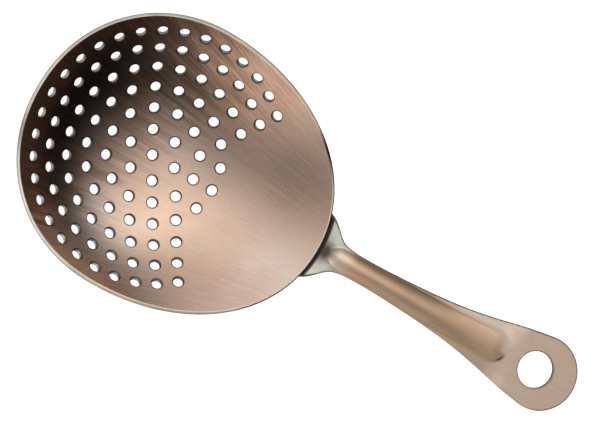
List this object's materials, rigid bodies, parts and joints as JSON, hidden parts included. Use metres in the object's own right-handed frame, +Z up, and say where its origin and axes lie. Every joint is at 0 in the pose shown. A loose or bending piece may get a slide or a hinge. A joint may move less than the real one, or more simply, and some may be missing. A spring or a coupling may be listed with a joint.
{
  "type": "julep strainer",
  "caption": "Perforated egg-shaped dish with a ribbed flat handle, pressed from sheet metal, held over a mixing glass to keep ice back while a drink is poured.",
  "frame": {"origin": "middle of the tool's overall footprint, level with the lowest point of the dish's outer face, so the tool lies on z = 0", "axes": "+X runs from the dish towards the handle, +Z up out of the open side of the dish, the rim plane is parallel to XY"},
  "size_m": [0.1667, 0.0746, 0.0184],
  "materials": {
    "bowl_plate": "brushed steel with an antique copper plating, darkened in the deep part of the dish",
    "handle_plate": "brushed steel with a lighter antique copper plating",
    "weld": "fused steel nugget"
  },
  "bodies": {
    "root": {"bowl": "bowl_plate", "handle": "handle_plate", "spot_welds": "weld"}
  },
  "joints": []
}
